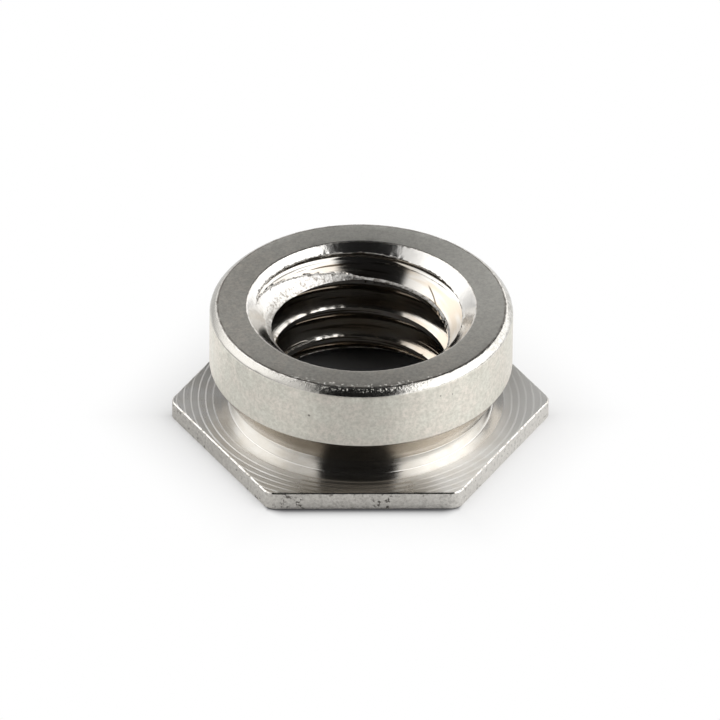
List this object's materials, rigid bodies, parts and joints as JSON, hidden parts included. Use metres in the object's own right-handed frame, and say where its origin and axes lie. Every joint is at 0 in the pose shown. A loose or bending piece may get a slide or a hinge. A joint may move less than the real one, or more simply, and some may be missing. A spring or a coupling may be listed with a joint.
{
  "type": "hexagonal clinch nut",
  "caption": "Low stainless nut with a thin hexagonal flange, an undercut neck and a round collar with a threaded through hole, pressed flush into sheet metal.",
  "frame": {"origin": "centre of the hexagonal flange's lower face, on the thread's axis", "axes": "+Z along the thread's axis, from the flange to the collar; +X through a corner of the hexagon"},
  "size_m": [0.0108, 0.0094, 0.0038],
  "materials": {
    "stainless_steel": "bare turned stainless steel: satin collar and face, bright chamfers and thread, fine feed rings on the flange, grainy drawn hexagon sides"
  },
  "bodies": {
    "root": {"nut_body": "stainless_steel"}
  },
  "joints": []
}
